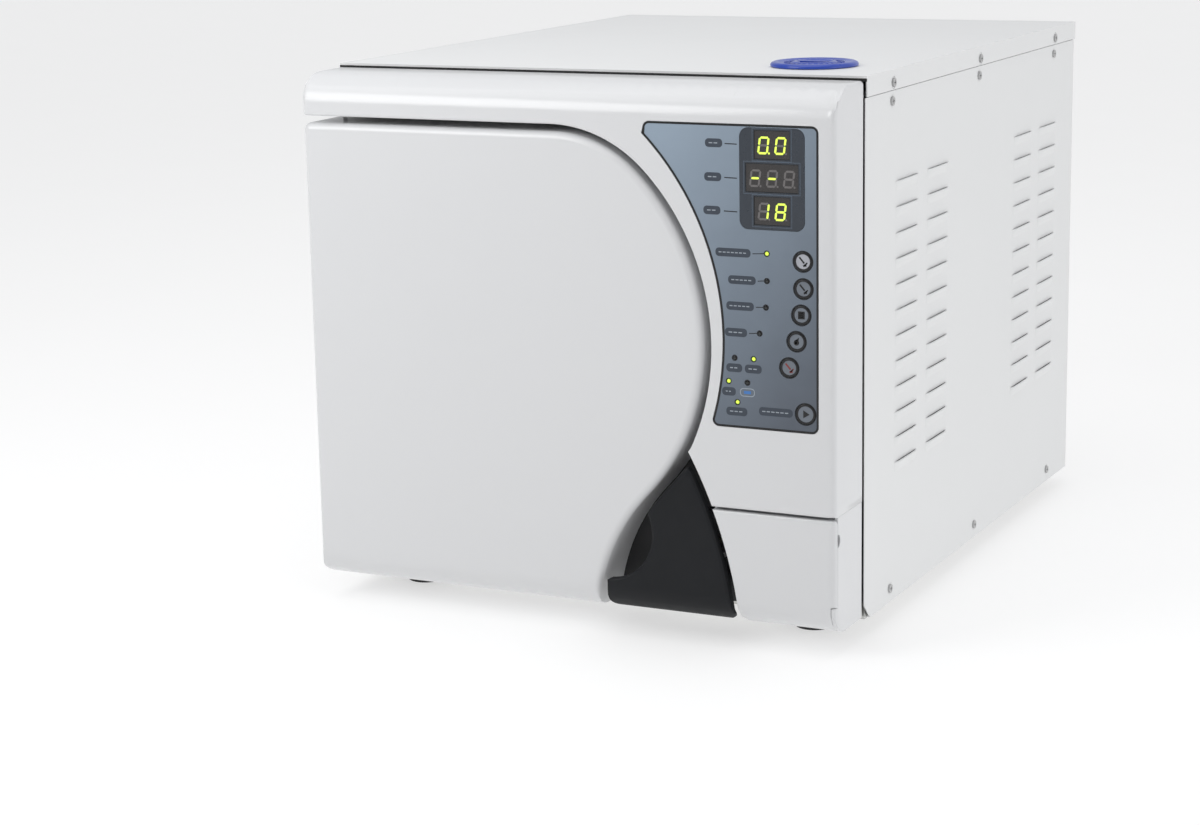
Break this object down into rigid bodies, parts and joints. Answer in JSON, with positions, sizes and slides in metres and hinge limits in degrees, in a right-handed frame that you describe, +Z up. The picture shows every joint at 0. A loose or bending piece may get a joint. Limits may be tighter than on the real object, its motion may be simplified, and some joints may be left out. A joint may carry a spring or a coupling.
{
  "type": "benchtop autoclave",
  "caption": "Benchtop steam steriliser with a round-edged left-hinged door, lever handle, control panel, service flap and a round chamber with trays.",
  "frame": {"origin": "on the table, under the centre of the bounding box", "axes": "+Z up, the front with the door faces -Y, +X is to the right of a person facing the front"},
  "size_m": [0.4548, 0.616, 0.437],
  "materials": {
    "white_powder_coat": "fine powder coat, satin",
    "zinc_plated_steel": "zinc plated sheet",
    "white_moulding": "glossy, very light grey white",
    "charcoal_plastic": "satin charcoal",
    "black_plastic": "satin black",
    "black_rocker": "glossy black",
    "foot_rubber": "matt",
    "steel_screws": "machined steel",
    "polished_stainless": "brushed stainless steel",
    "heater_mat": "matt silicone heating mat",
    "glass_wool": "fibrous",
    "painted_cast_iron": "painted casting",
    "pump_plastic": "satin",
    "copper_tube": "drawn copper",
    "brass_fittings": "machined",
    "solenoid_coil": "moulded coil",
    "seal_silicone": "smooth silicone",
    "tank_plastic": "translucent moulding",
    "overlay_film": "blue-grey printed film with a black border",
    "digit_modules": "dark lens with seven-segment digits",
    "light_lens": "clear lens",
    "circuit_board": "solder mask",
    "filter_white": "satin",
    "button_grey": "printed face in a black ring",
    "button_red": "printed face in a black ring",
    "cap_blue": "royal blue",
    "knob_grey": "grey"
  },
  "bodies": {
    "cabinet": {"base_pan": "zinc_plated_steel", "rubber_feet": "foot_rubber", "case_screws": "steel_screws", "left_side_panel": "white_powder_coat", "right_side_panel": "white_powder_coat", "rear_panel": "white_powder_coat", "top_cover": "white_powder_coat", "front_bulkhead": "zinc_plated_steel", "front_fascia": "white_moulding", "control_overlay": "overlay_film", "display_window": "black_plastic", "digit_modules": "digit_modules", "status_lights": "light_lens", "control_board": "circuit_board", "service_bay": "black_plastic", "drain_valve_bodies": "brass_fittings", "air_filter": "filter_white", "power_switch_housing": "black_plastic", "hinge_bracket": "zinc_plated_steel", "hinge_pins": "steel_screws", "chamber_vessel": "polished_stainless", "chamber_flange": "polished_stainless", "chamber_heater": "heater_mat", "insulation_jacket": "glass_wool", "tray_rack": "polished_stainless", "instrument_trays": "polished_stainless", "steam_generator": "polished_stainless", "vacuum_pump": "painted_cast_iron", "water_pump": "pump_plastic", "condenser_coil": "copper_tube", "fan_frame": "black_plastic", "water_tank": "tank_plastic", "filler_neck": "white_moulding", "safety_valve": "brass_fittings", "solenoid_valves": "brass_fittings", "power_inlet": "black_plastic", "lock_frame": "zinc_plated_steel", "lock_solenoid": "solenoid_coil"},
    "door": {"door_cover": "white_moulding", "door_inner_frame": "black_plastic", "pressure_plate": "polished_stainless", "door_seal": "seal_silicone", "door_arm": "painted_cast_iron", "door_spindle": "steel_screws", "handle_pin": "steel_screws"},
    "handle": {"handle_grip": "charcoal_plastic", "latch_lever": "steel_screws"},
    "lock_bolt": {"lock_bolt": "steel_screws"},
    "service_door": {"service_door": "white_moulding"},
    "clean_drain_knob": {"clean_drain_knob": "cap_blue"},
    "used_drain_knob": {"used_drain_knob": "knob_grey"},
    "power_rocker": {"power_rocker": "black_rocker"},
    "filler_cap": {"filler_cap": "cap_blue"},
    "fan_rotor": {"fan_rotor": "black_plastic"},
    "program_button_1": {"program_button_1": "button_grey"},
    "program_button_2": {"program_button_2": "button_grey"},
    "program_button_3": {"program_button_3": "button_grey"},
    "program_button_4": {"program_button_4": "button_grey"},
    "program_button_5": {"program_button_5": "button_red"},
    "start_button": {"start_button": "button_grey"}
  },
  "joints": [
    {"name": "door_swing", "type": "hinge", "parent": "cabinet", "child": "door", "pos_m": [-0.214, -0.264, 0.2325], "axis": [0, 0, -1], "range_deg": [0, 105]},
    {"name": "handle_pull", "type": "hinge", "parent": "door", "child": "handle", "pos_m": [0.118, -0.299, 0.073], "axis": [0, 0, 1], "range_deg": [0, 30]},
    {"name": "lock_bolt_slide", "type": "slide", "parent": "cabinet", "child": "lock_bolt", "axis": [0, 0, 1], "range_m": [0, 0.015]},
    {"name": "service_door_swing", "type": "hinge", "parent": "cabinet", "child": "service_door", "pos_m": [0.185, -0.298, 0.03], "axis": [1, 0, 0], "range_deg": [0, 90]},
    {"name": "clean_drain_turn", "type": "hinge", "parent": "cabinet", "child": "clean_drain_knob", "pos_m": [0.17, -0.25, 0.044], "axis": [0, 1, 0], "range_deg": [0, 90]},
    {"name": "used_drain_turn", "type": "hinge", "parent": "cabinet", "child": "used_drain_knob", "pos_m": [0.2, -0.25, 0.044], "axis": [0, 1, 0], "range_deg": [0, 90]},
    {"name": "power_rocker_tilt", "type": "hinge", "parent": "cabinet", "child": "power_rocker", "pos_m": [0.204, -0.2395, 0.081], "axis": [1, 0, 0], "range_deg": [0, 20]},
    {"name": "filler_cap_lift", "type": "slide", "parent": "cabinet", "child": "filler_cap", "axis": [0, 0, 1], "range_m": [0, 0.05]},
    {"name": "fan_spin", "type": "hinge", "parent": "cabinet", "child": "fan_rotor", "pos_m": [0.11, 0.275, 0.3], "axis": [0, 1, 0], "continuous": true},
    {"name": "program_button_1_press", "type": "slide", "parent": "cabinet", "child": "program_button_1", "axis": [0, 1, 0], "range_m": [0, 0.0008], "stiffness_N_per_m": 1500},
    {"name": "program_button_2_press", "type": "slide", "parent": "cabinet", "child": "program_button_2", "axis": [0, 1, 0], "range_m": [0, 0.0008], "stiffness_N_per_m": 1500},
    {"name": "program_button_3_press", "type": "slide", "parent": "cabinet", "child": "program_button_3", "axis": [0, 1, 0], "range_m": [0, 0.0008], "stiffness_N_per_m": 1500},
    {"name": "program_button_4_press", "type": "slide", "parent": "cabinet", "child": "program_button_4", "axis": [0, 1, 0], "range_m": [0, 0.0008], "stiffness_N_per_m": 1500},
    {"name": "program_button_5_press", "type": "slide", "parent": "cabinet", "child": "program_button_5", "axis": [0, 1, 0], "range_m": [0, 0.0008], "stiffness_N_per_m": 1500},
    {"name": "start_button_press", "type": "slide", "parent": "cabinet", "child": "start_button", "axis": [0, 1, 0], "range_m": [0, 0.0008], "stiffness_N_per_m": 1500}
  ]
}
